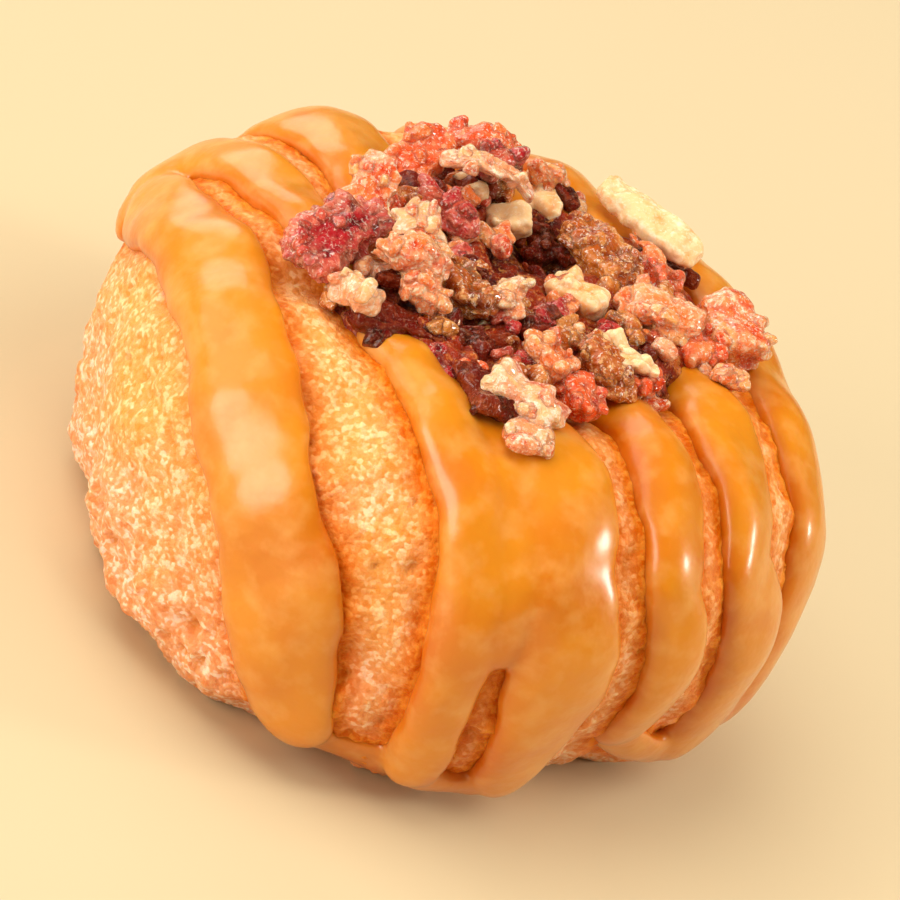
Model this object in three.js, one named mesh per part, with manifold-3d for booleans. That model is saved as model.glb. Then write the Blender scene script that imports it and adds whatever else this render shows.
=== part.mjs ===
// Mini ring doughnut with a zigzag of thick maple icing and a heap of bacon bits over its hole.
// Millimetres, +Z up. The origin is on the surface that the doughnut stands on, under the
// middle of its outline. Two solids: the cake ring with its icing, and the heap of bacon.

import * as THREE from 'three';
import { mergeVertices } from 'three/addons/utils/BufferGeometryUtils.js';
import Module from 'manifold-3d';

// Cake ring
const CAKE_RADIUS = 23.5;
const UPPER_HEIGHT = 11.1;       // the section above and below its widest level
const LOWER_HEIGHT = 12.8;
const HOLE_RADIUS = 4.7;
const FOOT_CUT = 0.6;            // how much of the round underside is flat against the table
const UPPER_POWER = 2.15;        // fullness of the section above and below its widest level
const LOWER_POWER = 2.6;
const AXIS_PLACE = [-0.04, 0.1];  // the hole's axis, so that the whole outline is centred

// Icing: one thick strand laid to and fro across the ring, drooping over its edge
const LAYING_TURN = 42;          // degrees from -Y towards +X
const SINK = 0.9;                // how far a strand reaches into the cake that it sticks to
const WALL_START = 21.9;         // radius where a strand leaves its straight line and runs down
const DOWNHILL_POWER = 1.8;      // how soon a strand on the wall turns towards its foot
const FUNNEL_RADIUS = 7;         // inside this the strand has dropped in under the bacon
const NARROWING_LENGTH = 14;     // over which a strand that starts narrow reaches its full width
const BEAD_STEP = 2.3;
const BEAD_SIDES = 8;
const BEAD_POWER = 2.6;

// Bacon
const NODE_GAP = 0.3;
const PIT = { x: -1.1, y: 6.4, radius: 3.3, depth: 0.8 };
const FILL_COUNT = 20;
const FILL_SEED = 7;

// Mesh fineness
const ROUND_STEPS = 60;
const SECTION_STEPS = 22;

const CREST_RADIUS = (CAKE_RADIUS + HOLE_RADIUS) / 2;
const HALF_WIDTH = (CAKE_RADIUS - HOLE_RADIUS) / 2;
const MIDDLE = LOWER_HEIGHT - FOOT_CUT;
const CREST = MIDDLE + UPPER_HEIGHT;

const rad = THREE.MathUtils.degToRad;
const lerp = THREE.MathUtils.lerp;
const signedPower = (v, p) => Math.sign(v) * Math.abs(v) ** p;
const turned = (angle) => Math.atan2(Math.sin(angle), Math.cos(angle));

const wasm = await Module();
wasm.setup();

// A hand-cut ring isn't quite round: where its wall stands out or is tucked in. Direction and
// spread in degrees about the hole, height and reach in millimetres, and how far out.
const BULGES = [
  { towards: -37, spread: 15, height: 1, reach: 9, out: -3.2 },
  { towards: -125, spread: 30, height: 1, reach: 9, out: 0.7 },
  { towards: -155, spread: 15, height: 6, reach: 7, out: -1.6 },
  { towards: 170, spread: 20, height: 19, reach: 7, out: 0.8 },
];

function asMade(geometry) {
  const position = geometry.attributes.position;
  for (let i = 0; i < position.count; i += 1) {
    const [x, y, z] = [position.getX(i), position.getY(i), position.getZ(i)];
    const round = Math.atan2(y, x);
    const share = (x * x + y * y) / CAKE_RADIUS ** 2;
    let out = 0;
    for (const bulge of BULGES) {
      const aside = turned(round - rad(bulge.towards)) / rad(bulge.spread);
      const above = (z - bulge.height) / bulge.reach;
      out += bulge.out * share * Math.exp(-(aside ** 2) - above ** 2);
    }
    position.setXYZ(i, x + out * Math.cos(round), y + out * Math.sin(round), z);
  }
  return geometry;
}

function toSolid(geometry) {
  const bare = geometry.clone();
  bare.deleteAttribute('normal');
  bare.deleteAttribute('uv');
  const merged = asMade(mergeVertices(bare, 1e-4));
  return new wasm.Manifold(new wasm.Mesh({
    numProp: 3,
    vertProperties: new Float32Array(merged.attributes.position.array),
    triVerts: new Uint32Array(merged.index.array),
  }));
}

function toGeometry(solid) {
  const mesh = solid.getMesh();
  const geometry = new THREE.BufferGeometry();
  geometry.setAttribute('position', new THREE.BufferAttribute(mesh.vertProperties, 3));
  geometry.setIndex(new THREE.BufferAttribute(mesh.triVerts, 1));
  geometry.computeVertexNormals();
  return geometry;
}

function largestPiece(solid) {
  const pieces = solid.decompose();
  return pieces.reduce((best, one) => (one.volume() > best.volume() ? one : best));
}

function fuse(solids) {
  return largestPiece(solids.reduce((whole, one) => whole.add(one)));
}

function seededRandom(seed) {
  let state = seed;
  return () => {
    state = (state * 1664525 + 1013904223) % 4294967296;
    return state / 4294967296;
  };
}

// The ring's surface: round is the angle about the hole, section the angle about the ring's
// own middle line (0 outside, 90 degrees on top, 180 in the hole), lift the height above it.

function sectionPoint(section) {
  const above = Math.sin(section) > 0;
  const power = above ? UPPER_POWER : LOWER_POWER;
  return [
    CREST_RADIUS + HALF_WIDTH * signedPower(Math.cos(section), 2 / power),
    (above ? UPPER_HEIGHT : LOWER_HEIGHT) * signedPower(Math.sin(section), 2 / power),
  ];
}

function sectionNormal(section) {
  const [r0, z0] = sectionPoint(section - 0.01);
  const [r1, z1] = sectionPoint(section + 0.01);
  const length = Math.hypot(r1 - r0, z1 - z0);
  return [(z1 - z0) / length, -(r1 - r0) / length];
}

function crumbRelief(round, section) {
  const broad = 0.22 * Math.sin(5 * round + 1.1) * Math.sin(2 * section + 0.4);
  const lumps = 0.2 * Math.sin(11 * round + 3 * section) * Math.sin(4 * section - 0.7);
  const pits = 0.14 * Math.sin(19 * round - 5 * section + 2);
  return broad + lumps + pits;
}

function ringSurface(round, section, lift) {
  const [radius, height] = sectionPoint(section);
  const [outward, upward] = sectionNormal(section);
  const out = crumbRelief(round, section) + lift;
  const r = radius + out * outward;
  const z = Math.max(height + out * upward + MIDDLE, 0);
  return new THREE.Vector3(r * Math.cos(round), r * Math.sin(round), z);
}

function surfaceNormal(round, section) {
  const [outward, upward] = sectionNormal(section);
  return new THREE.Vector3(outward * Math.cos(round), outward * Math.sin(round), upward);
}

function sectionAngleAt(radius, height) {
  const across = (radius - CREST_RADIUS) / HALF_WIDTH;
  const up = height / (height > 0 ? UPPER_HEIGHT : LOWER_HEIGHT);
  const power = up > 0 ? UPPER_POWER : LOWER_POWER;
  return Math.atan2(signedPower(up, power / 2), signedPower(across, power / 2));
}

// Where a point that floats beside the ring would land on it
function settle(point, lift) {
  const round = Math.atan2(point.y, point.x);
  const section = sectionAngleAt(Math.hypot(point.x, point.y), point.z - MIDDLE);
  return ringSurface(round, section, lift);
}

function cakeRing(grow) {
  const geometry = new THREE.TorusGeometry(1, 0.5, SECTION_STEPS, ROUND_STEPS);
  const position = geometry.attributes.position;
  for (let i = 0; i < position.count; i += 1) {
    const round = Math.atan2(position.getY(i), position.getX(i));
    const across = Math.hypot(position.getX(i), position.getY(i)) - 1;
    const section = Math.atan2(position.getZ(i), across);
    const place = ringSurface(round, section, grow);
    position.setXYZ(i, place.x, place.y, place.z);
  }
  return toSolid(geometry);
}

// The icing's routes over the ring, as points of round and section angle

function laidLine(pass) {
  const turn = rad(LAYING_TURN);
  const stations = [];
  const reach = 22;
  for (let along = -reach; along <= reach; along += 0.5) {
    const bow = pass.bow * (1 - (along / reach) ** 2);
    const offset = lerp(pass.back, pass.front, (along + reach) / (2 * reach)) + bow;
    const x = offset * Math.cos(turn) + along * Math.sin(turn);
    const y = offset * Math.sin(turn) - along * Math.cos(turn);
    const radius = Math.hypot(x, y);
    if (radius <= WALL_START) {
      const across = THREE.MathUtils.clamp((radius - CREST_RADIUS) / HALF_WIDTH, -0.98, 1);
      const section = Math.acos(signedPower(across, UPPER_POWER / 2));
      stations.push({ round: Math.atan2(y, x), section, radius });
    }
  }
  return stations;
}

function runDownWall(last, foot) {
  const footSection = rad(foot.section);
  const swing = turned(last.round - rad(foot.round));
  const stations = [];
  for (let section = last.section - rad(4); section > footSection; section -= rad(4)) {
    const left = (section - footSection) / (last.section - footSection);
    const round = rad(foot.round) + swing * left ** DOWNHILL_POWER;
    stations.push({ round, section, radius: CAKE_RADIUS });
  }
  return stations;
}

function passRoute(pass) {
  const line = laidLine(pass);
  const frontWall = runDownWall(line[line.length - 1], pass.frontFoot);
  const backWall = runDownWall(line[0], pass.backFoot);
  return [...backWall.reverse(), ...line, ...frontWall];
}

function turnRoute(from, to, dip) {
  const swing = turned(to.round - from.round);
  const stations = [];
  for (let i = 0; i <= 12; i += 1) {
    const part = i / 12;
    stations.push({
      round: from.round + swing * part,
      section: lerp(from.section, to.section, part) - rad(dip) * Math.sin(Math.PI * part),
      radius: CAKE_RADIUS,
    });
  }
  return stations;
}

// A strand that crosses the hole drops into it, so it is cut into a front and a back length
function splitAtHole(route, funnelRadius) {
  const lengths = [[]];
  for (const station of route) {
    if (station.radius < funnelRadius) {
      if (lengths[lengths.length - 1].length > 0) lengths.push([]);
    } else {
      lengths[lengths.length - 1].push(station);
    }
  }
  return lengths.filter((length) => length.length > 4);
}

// Width of a strand on top of the ring, at its widest level and at the foot
function widthAt(widths, section) {
  const [top, wall, foot] = widths;
  if (section > 0) return lerp(wall, top, Math.min(1, section / rad(60)));
  return lerp(wall, foot, Math.min(1, section / rad(-45)));
}

function bead(route, widths, height, grow, narrowing = 0) {
  const spine = new THREE.CatmullRomCurve3(
    route.map((station) => ringSurface(station.round, station.section, 0)),
  );
  const length = spine.getLength();
  const steps = Math.max(4, Math.round(length / BEAD_STEP));
  const geometry = new THREE.CylinderGeometry(1, 1, 1, BEAD_SIDES, steps);
  const position = geometry.attributes.position;
  for (let i = 0; i < position.count; i += 1) {
    const part = position.getY(i) + 0.5;
    const around = Math.atan2(position.getZ(i), position.getX(i));
    const reach = Math.hypot(position.getX(i), position.getZ(i));
    const centre = spine.getPointAt(part);
    const tangent = spine.getTangentAt(part);
    const round = Math.atan2(centre.y, centre.x);
    const section = sectionAngleAt(Math.hypot(centre.x, centre.y), centre.z - MIDDLE);
    const side = new THREE.Vector3().crossVectors(tangent, surfaceNormal(round, section)).normalize();
    const narrower = narrowing * Math.max(0, 1 - (part * length) / NARROWING_LENGTH);
    const width = widthAt(widths, section) - narrower;
    const fromEnd = Math.min(part, 1 - part) * length;
    const rounding = Math.sqrt(1 - (1 - Math.min(1, 0.08 + fromEnd / (width / 2))) ** 2);
    const uneven = 1 + 0.06 * Math.sin(part * length * 0.55 + widths[0] * 3);
    const across = reach * rounding * uneven * (width / 2 + grow)
      * signedPower(Math.cos(around), 2 / BEAD_POWER);
    const rise = signedPower(Math.sin(around), 2 / BEAD_POWER);
    const tall = 0.45 + 0.55 * rounding;
    const lift = reach * (rise > 0 ? rise * (height * tall + grow) : rise * SINK);
    const place = settle(centre.clone().addScaledVector(side, across), lift);
    position.setXYZ(i, place.x, place.y, place.z);
  }
  return toSolid(geometry);
}

// Six passes from the left edge to the right one. Offsets are measured across the passes from
// the hole's axis, at the back and the front end, with a bow between them. Widths are on top, at
// the widest level and at the foot, and the narrowing is at the back end. A foot is where the
// icing ends on the wall, in degrees.
const PASSES = [
  {
    name: 'C', back: -16.2, front: -21.7, bow: -1.0, widths: [6.4, 7.8, 4.8], height: 1.5,
    backFoot: { section: 16, round: 178 }, frontFoot: { section: -45, round: -90 },
    narrowing: 2.2,
  },
  {
    name: 'D', back: -13.9, front: -10.6, bow: 0.5, widths: [4.2, 4.1, 3.3], height: 1.4,
    backFoot: { section: 10, round: 173 }, frontFoot: { section: -47, round: -70.5 },
  },
  {
    name: 'E', back: -5.3, front: -5.0, bow: 0, widths: [6.6, 6.8, 3.8], height: 1.5,
    backFoot: { section: -12, round: 146 }, frontFoot: { section: -48, round: -54 },
  },
  {
    name: 'F', back: 4.8, front: 2.4, bow: 0.4, widths: [4.4, 3.9, 3.5], height: 1.5,
    backFoot: { section: -14, round: 120 }, frontFoot: { section: -24, round: -35 },
  },
  {
    name: 'G', back: 11.2, front: 9.0, bow: 0, widths: [4.7, 5.4, 4.2], height: 1.5,
    backFoot: { section: -20, round: 99 }, frontFoot: { section: -44, round: -14 },
  },
  {
    name: 'H', back: 18.6, front: 15.9, bow: 0, widths: [4.8, 5.2, 4.0], height: 1.4,
    backFoot: { section: -18, round: 78 }, frontFoot: { section: -36, round: -6 },
  },
];

// Between the second and third pass the icing has run together into one sheet at the front
const SHEET = {
  back: -9.2, front: -8.2, bow: 0, widths: [4.8, 3.6, 3.6], height: 1.05,
  backFoot: { section: 30, round: 150 }, frontFoot: { section: 2, round: -68.5 },
};

// The strand turns back at these pairs of ends, and a thin pool lies between the first two
const TURNS = [
  { from: 'C', to: 'D', end: 'back', width: 4.4, height: 1.4, dip: 2 },
  { from: 'D', to: 'E', end: 'front', width: 3.2, height: 1.1, dip: 3 },
  { from: 'E', to: 'F', end: 'back', width: 4.2, height: 1.3, dip: 8 },
  { from: 'F', to: 'G', end: 'front', width: 3.0, height: 1.1, dip: 2 },
  { from: 'G', to: 'H', end: 'back', width: 4.0, height: 1.3, dip: 8 },
  { from: 'C', to: 'D', end: 'front', width: 3.4, height: 0.4, dip: 2 },
];

function icingBeads(grow) {
  const beads = [];
  const ends = {};
  const funnel = FUNNEL_RADIUS - 2 * grow;
  for (const pass of PASSES) {
    const route = passRoute(pass);
    ends[pass.name] = { back: route[1], front: route[route.length - 2] };
    for (const length of splitAtHole(route, funnel)) {
      beads.push(bead(length, pass.widths, pass.height, grow, pass.narrowing));
    }
  }
  for (const turn of TURNS) {
    const route = turnRoute(ends[turn.from][turn.end], ends[turn.to][turn.end], turn.dip);
    beads.push(bead(route, [turn.width, turn.width, turn.width], turn.height, grow));
  }
  const sheet = passRoute(SHEET);
  beads.push(bead(sheet.slice(Math.ceil(sheet.length / 2)), SHEET.widths, SHEET.height, grow));
  return beads;
}

function icedRing(grow) {
  return fuse([cakeRing(grow), ...icingBeads(grow)]);
}

// Bacon bits: rough lumps, flat flakes and bent strips, each with few sides

function chunk(piece, random) {
  const [length, width, thickness] = piece.size;
  const alongSteps = piece.arch ? 5 : 2;
  const bare = new THREE.BoxGeometry(1, 1, 1, alongSteps, length > 3.5 ? 2 : 1, 1);
  bare.deleteAttribute('normal');
  bare.deleteAttribute('uv');
  const geometry = mergeVertices(bare, 1e-4);
  const position = geometry.attributes.position;
  const rough = 0.1;
  for (let i = 0; i < position.count; i += 1) {
    const p = new THREE.Vector3().fromBufferAttribute(position, i);
    const corner = (Math.abs(p.x) > 0.49) + (Math.abs(p.y) > 0.49) + (Math.abs(p.z) > 0.49);
    p.multiplyScalar(1.06 - 0.1 * (corner - 1));
    p.x = (p.x + rough * (random() - 0.5)) * length;
    p.y = (p.y + 2 * rough * (random() - 0.5)) * width;
    p.z = (p.z + 2 * rough * (random() - 0.5)) * thickness;
    if (piece.arch) p.z += piece.arch * (1 - (2 * p.x / length) ** 2);
    position.setXYZ(i, p.x, p.y, p.z);
  }
  const [turn, pitch, roll] = piece.lie.map(rad);
  geometry.rotateX(roll);
  geometry.rotateY(-pitch);
  geometry.rotateZ(turn);
  geometry.translate(piece.at[0], piece.at[1], CREST + piece.at[2]);
  return toSolid(geometry);
}

// Each piece that shows: its middle, with the height above the cake's crest, length x width x
// thickness, and turn, pitch and roll in degrees
const PIECES = [
  { at: [-11.7, -6.6, 2.3], size: [9.6, 4.2, 2.4], lie: [67, 13, 10] },     // dark lean strip
  { at: [-11.1, -0.7, 3.2], size: [4.9, 3.4, 1.4], lie: [97, 42, 0] },      // upright shard
  { at: [-7.9, -4.3, 5.0], size: [3.1, 1.8, 0.9], lie: [55, 23, 20] },      // pale flake
  { at: [-9.7, 7.0, 2.5], size: [4.3, 3.2, 2.6], lie: [71, 23, 0] },
  { at: [-7.0, 11.3, 2.7], size: [4.5, 3.0, 2.6], lie: [12, 14, 0] },
  { at: [-5.5, 9.1, 3.5], size: [3.7, 2.0, 1.8], lie: [65, 16, 0] },
  { at: [-5.6, 6.5, 3.5], size: [6.7, 1.9, 1.3], lie: [13, 0, 0], arch: 1.1 }, // arched strip
  { at: [-6.6, 3.0, 2.5], size: [4.6, 2.6, 2.2], lie: [7, 6, 0] },
  { at: [-2.9, 7.3, 0.9], size: [2.9, 2.2, 1.8], lie: [33, 22, 0] },
  { at: [-1.7, 11.2, 1.3], size: [2.8, 2.2, 1.8], lie: [97, 39, 0] },
  { at: [-2.4, 12.1, 2.3], size: [2.5, 2.0, 1.8], lie: [-10, 0, 0] },
  { at: [3.2, 8.6, 1.3], size: [7.4, 3.6, 2.8], lie: [-49, 11, 15] },      // sugared lump
  { at: [4.9, 13.1, 2.9], size: [9.2, 3.2, 2.0], lie: [-25, 2, 25] },       // long fat slab
  { at: [7.0, 8.6, 2.3], size: [3.2, 2.4, 2.2], lie: [-21, 10, 0] },
  { at: [8.5, 3.5, 2.3], size: [4.5, 3.4, 2.6], lie: [9, 6, 0] },
  { at: [12.5, 6.4, 2.0], size: [5.8, 3.8, 2.8], lie: [-53, -5, 10] },      // round end piece
  { at: [11.3, 3.8, 1.3], size: [3.4, 2.6, 2.2], lie: [55, 7, 0] },
  { at: [3.1, 2.2, 1.1], size: [4.6, 3.0, 2.6], lie: [-25, 13, 0] },
  { at: [6.3, -4.2, 1.4], size: [5.5, 3.0, 2.6], lie: [-48, 0, 0] },
  { at: [-0.9, -4.0, 2.1], size: [4.1, 2.0, 1.6], lie: [107, 64, 0] },      // upright piece
  { at: [-3.1, -4.4, 1.9], size: [4.8, 2.8, 2.2], lie: [-44, 0, 0] },
  { at: [-7.1, -6.5, 3.6], size: [4.8, 2.8, 2.4], lie: [33, 0, 0] },
  { at: [-5.4, -8.1, 2.7], size: [3.3, 2.6, 2.2], lie: [22, 0, 0] },
  { at: [-8.9, -11.0, 2.2], size: [3.0, 2.0, 1.8], lie: [-35, 10, 0] },
  { at: [-4.7, -9.3, 0.5], size: [7.5, 2.7, 2.2], lie: [25, -3, 0] },
  { at: [0.5, -12.4, 1.1], size: [7.0, 2.6, 2.0], lie: [-58, 10, 0] },
  { at: [3.1, -12.7, 2.0], size: [5.2, 3.6, 2.0], lie: [-20, -5, 0] },
  { at: [4.5, -15.4, 1.5], size: [4.6, 3.6, 1.0], lie: [25, 0, -10] },      // clear fat tip
  { at: [6.2, -8.2, 1.3], size: [3.1, 2.5, 2.4], lie: [-34, 0, 0] },
  { at: [3.6, -7.1, 2.1], size: [3.5, 2.4, 2.2], lie: [-35, 0, 0] },
  { at: [8.3, -3.3, 2.5], size: [2.7, 1.4, 1.1], lie: [-4, 10, 0] },
  { at: [8.7, -3.1, 1.3], size: [3.0, 2.0, 1.7], lie: [54, 4, 0] },
  { at: [13.9, 2.0, 1.5], size: [2.4, 1.9, 1.6], lie: [-4, 0, 0] },
];

// How far out the packed middle reaches: least at the front right, where the icing shows almost
// up to the hole, more at the front left and most at the back
function rimShare(round) {
  const front = Math.exp(-((turned(round - rad(-38)) / rad(34)) ** 2));
  const back = Math.exp(-((turned(round - rad(70)) / rad(45)) ** 2));
  const left = Math.exp(-((turned(round - rad(-128)) / rad(25)) ** 2));
  return 1 - 0.3 * front + 0.15 * left + 0.22 * back;
}

function fillPieces(random) {
  const pieces = [];
  while (pieces.length < FILL_COUNT) {
    const round = rad(360 * random());
    const radius = (3.5 + 9 * Math.sqrt(random())) * rimShare(round);
    const x = radius * Math.cos(round);
    const y = radius * Math.sin(round);
    const size = [2 + 1.6 * random(), 1.5 + random(), 1.3 + 0.8 * random()];
    const lie = [360 * random(), 40 * random() - 20, 40 * random()];
    if (Math.hypot(x - PIT.x, y - PIT.y) > PIT.radius + 1) {
      pieces.push({ at: [x, y, 0.4 + 0.8 * random()], size, lie });
    }
  }
  return pieces;
}

// The packed middle of the heap, from the plug in the hole to under the pieces on top
function heapCore() {
  const outline = [
    [0, MIDDLE + 1],
    [HOLE_RADIUS, MIDDLE + 1],
    [HOLE_RADIUS + 1.5, MIDDLE + 3],
    [HOLE_RADIUS + 3, CREST - 6],
    [12.6, CREST - 2.5],
    [12.6, CREST + 0.8],
    [10.5, CREST + 1.6],
    [5.5, CREST + 1.3],
    [0, CREST + 0.9],
  ].map(([r, z]) => new THREE.Vector2(r, z));
  const lathe = new THREE.LatheGeometry(outline, 28);
  lathe.rotateX(Math.PI / 2);
  const position = lathe.attributes.position;
  for (let i = 0; i < position.count; i += 1) {
    const [x, y] = [position.getX(i), position.getY(i)];
    const share = Math.hypot(x, y) > HOLE_RADIUS + 0.1 ? rimShare(Math.atan2(y, x)) : 1;
    position.setXY(i, x * share, y * share);
  }
  return toSolid(lathe);
}

function pit() {
  const geometry = new THREE.CylinderGeometry(PIT.radius * 1.35, PIT.radius * 0.5, 12, 12, 1);
  geometry.rotateX(Math.PI / 2);
  geometry.translate(PIT.x, PIT.y, CREST - PIT.depth + 6);
  return toSolid(geometry);
}

function baconHeap() {
  const random = seededRandom(FILL_SEED);
  const core = heapCore().subtract(pit());
  const bits = [...fillPieces(random), ...PIECES].map((piece) => chunk(piece, random));
  const heap = fuse([core, ...bits]);
  return largestPiece(heap.subtract(icedRing(NODE_GAP)));
}

function namedMesh(name, solid, material) {
  const mesh = new THREE.Mesh(toGeometry(solid), material);
  mesh.name = name;
  return mesh;
}

const icedCake = new THREE.MeshStandardMaterial({ color: 0xe8a050, roughness: 0.5, metalness: 0 });
const bacon = new THREE.MeshStandardMaterial({ color: 0xb5483a, roughness: 0.45, metalness: 0 });

const doughnut = new THREE.Group();
doughnut.position.set(AXIS_PLACE[0], AXIS_PLACE[1], 0);
doughnut.add(namedMesh('iced_ring', icedRing(0), icedCake));
doughnut.add(namedMesh('bacon_heap', baconHeap(), bacon));

export default doughnut;
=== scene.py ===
# Mini ring doughnut with maple icing laid to and fro across it and a heap of bacon over its hole.
# Sizes are in millimetres and meshes are scaled to metres as they are made. The passes of icing,
# the ring's section and the places of the bacon bits are those of the solids in the frame.

import itertools
import math

import bpy
import numpy as np
from mathutils import Matrix, Vector
from mathutils.kdtree import KDTree


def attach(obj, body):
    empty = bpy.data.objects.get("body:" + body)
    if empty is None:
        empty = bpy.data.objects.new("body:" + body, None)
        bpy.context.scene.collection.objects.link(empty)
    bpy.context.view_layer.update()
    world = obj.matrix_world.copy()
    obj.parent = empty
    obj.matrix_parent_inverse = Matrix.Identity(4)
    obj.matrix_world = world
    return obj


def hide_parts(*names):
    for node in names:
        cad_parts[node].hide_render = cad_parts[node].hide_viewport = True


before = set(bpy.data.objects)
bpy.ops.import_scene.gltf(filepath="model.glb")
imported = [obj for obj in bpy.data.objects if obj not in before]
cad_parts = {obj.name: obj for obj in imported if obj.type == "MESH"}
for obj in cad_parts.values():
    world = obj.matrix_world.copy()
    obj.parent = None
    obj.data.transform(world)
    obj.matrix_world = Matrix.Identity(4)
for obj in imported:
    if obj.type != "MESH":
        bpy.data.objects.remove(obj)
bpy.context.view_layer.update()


# Cake ring
# A fried cake doughnut with a thin pebbly crust over soft yellow crumb, pale gold on top and
# toasted towards its foot. It is one closed ring that stands on its flat browned underside.

MILLIMETRE = 0.001
CAKE_RADIUS = 23.5
UPPER_HEIGHT = 11.1
LOWER_HEIGHT = 12.8
HOLE_RADIUS = 4.7
FOOT_CUT = 0.6
UPPER_POWER = 2.15
LOWER_POWER = 2.6
HOLE_AXIS = np.array([-0.04, 0.10, 0.0])

CREST_RADIUS = (CAKE_RADIUS + HOLE_RADIUS) / 2
HALF_WIDTH = (CAKE_RADIUS - HOLE_RADIUS) / 2
MIDDLE = LOWER_HEIGHT - FOOT_CUT
CREST = MIDDLE + UPPER_HEIGHT

# Where the ring isn't quite round: direction and spread in degrees about the hole, height and
# reach in millimetres, and how far its wall stands out there
BULGES = [(-37, 15, 1, 9, -3.2), (-125, 30, 1, 9, 0.7), (-155, 15, 6, 7, -1.6), (170, 20, 19, 7, 0.8)]


def signed_power(value, power):
    return np.sign(value) * np.abs(value) ** power


def section_point(section):
    above = np.sin(section) > 0
    power = np.where(above, UPPER_POWER, LOWER_POWER)
    height = np.where(above, UPPER_HEIGHT, LOWER_HEIGHT)
    radius = CREST_RADIUS + HALF_WIDTH * signed_power(np.cos(section), 2 / power)
    return radius, height * signed_power(np.sin(section), 2 / power)


def section_normal(section):
    step = 0.01
    r0, z0 = section_point(section - step)
    r1, z1 = section_point(section + step)
    length = np.hypot(r1 - r0, z1 - z0)
    return (z1 - z0) / length, -(r1 - r0) / length


def crumb_relief(around, section):
    """The broad swells and dents of the crust, as in the solid."""
    broad = 0.22 * np.sin(5 * around + 1.1) * np.sin(2 * section + 0.4)
    lumps = 0.2 * np.sin(11 * around + 3 * section) * np.sin(4 * section - 0.7)
    return broad + lumps + 0.14 * np.sin(19 * around - 5 * section + 2)


def ring_point(around, section, lift):
    """Points over the ring: the angle about the hole, the angle about the ring's own middle
    line (0 outside, 90 degrees on top) and the height above the crust."""
    radius, height = section_point(section)
    outward, upward = section_normal(section)
    out = crumb_relief(around, section) + lift
    r = radius + out * outward
    z = np.maximum(height + out * upward + MIDDLE, 0)
    return np.stack([r * np.cos(around), r * np.sin(around), z], axis=-1)


def ring_normal(around, section):
    outward, upward = section_normal(section)
    return np.stack([outward * np.cos(around), outward * np.sin(around), upward + 0 * around], axis=-1)


def turned(angle):
    """An angle brought to within half a turn either way."""
    return np.arctan2(np.sin(angle), np.cos(angle))


def as_made(points):
    """Points about the hole's axis, moved out or in with the bulges of the real ring."""
    around = np.arctan2(points[:, 1], points[:, 0])
    share = (points[:, 0] ** 2 + points[:, 1] ** 2) / CAKE_RADIUS ** 2
    out = np.zeros(len(points))
    for towards, spread_angle, height, reach, most in BULGES:
        aside = turned(around - math.radians(towards)) / math.radians(spread_angle)
        out += most * share * np.exp(-aside ** 2 - ((points[:, 2] - height) / reach) ** 2)
    return points + np.stack([out * np.cos(around), out * np.sin(around), 0 * out], axis=1)


def cell_random(cells, seed):
    """A random number from 0 to 1 for each cell of a lattice, the same at each run."""
    whole = cells.astype(np.int64)
    mixed = (whole[..., 0] * 73856093) ^ (whole[..., 1] * 19349663) ^ (whole[..., 2] * 83492791)
    mixed = (mixed ^ (seed * 2654435761)) & 0xFFFFFFFF
    for shift, factor in ((15, 0x2C1B3C6D), (12, 0x297A2D39)):
        mixed = ((mixed ^ (mixed >> shift)) * factor) & 0xFFFFFFFF
    return (mixed ^ (mixed >> 15)) / 0xFFFFFFFF


def swell(points, size, seed):
    """A smooth random field from -1 to 1 whose bumps are about one size across."""
    place = points / size
    base = np.floor(place)
    part = place - base
    part = part * part * (3 - 2 * part)
    total = np.zeros(len(points))
    for corner in itertools.product((0, 1), repeat=3):
        weight = np.prod(np.where(np.array(corner) == 1, part, 1 - part), axis=1)
        total += weight * cell_random(base + corner, seed)
    return 2 * total - 1


def grains(points, size, seed):
    """Rounded grains of about one size: 1 in the middle of each, 0 in the creases between."""
    place = points / size
    base = np.floor(place)
    nearest = np.full(len(points), np.inf)
    for step in itertools.product((-1, 0, 1), repeat=3):
        cell = base + step
        shift = np.stack([cell_random(cell, seed + axis) for axis in range(3)], axis=1)
        nearest = np.minimum(nearest, np.linalg.norm(place - cell - shift, axis=1))
    return 1 - np.clip(nearest, 0, 1) ** 2


def smooth_step(value, low, high):
    part = np.clip((value - low) / (high - low), 0, 1)
    return part * part * (3 - 2 * part)


def grid_faces(rows, columns, rows_close=True, columns_close=True):
    """Quads of a grid of points that closes on itself both ways, or only one way."""
    row, column = np.meshgrid(np.arange(rows if rows_close else rows - 1),
                              np.arange(columns if columns_close else columns - 1), indexing="ij")
    next_row, next_column = (row + 1) % rows, (column + 1) % columns
    corners = [row * columns + column, next_row * columns + column,
               next_row * columns + next_column, row * columns + next_column]
    return np.stack([c.ravel() for c in corners], axis=1)


def make_piece(name, points, faces, fields=None):
    """A smooth-shaded mesh object from points in millimetres about the hole's axis."""
    mesh = bpy.data.meshes.new(name)
    mesh.from_pydata(((points + HOLE_AXIS) * MILLIMETRE).tolist(), [], faces.tolist())
    mesh.shade_smooth()
    piece = bpy.data.objects.new(name, mesh)
    bpy.context.scene.collection.objects.link(piece)
    write_fields(piece, fields or {})
    return piece


def write_fields(piece, fields):
    """Numbers or vectors at each point of a mesh, which its material reads."""
    for name, values in fields.items():
        kind, channel = ("FLOAT", "value") if values.ndim == 1 else ("FLOAT_VECTOR", "vector")
        field = piece.data.attributes.new(name, kind, "POINT")
        field.data.foreach_set(channel, values.astype(np.float32).ravel())


def colour(code):
    """A six-figure screen colour as the linear colour that shaders use."""
    parts = [int(code[i:i + 2], 16) / 255 for i in (0, 2, 4)]
    return [p / 12.92 if p <= 0.04045 else ((p + 0.055) / 1.055) ** 2.4 for p in parts] + [1.0]


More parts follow.
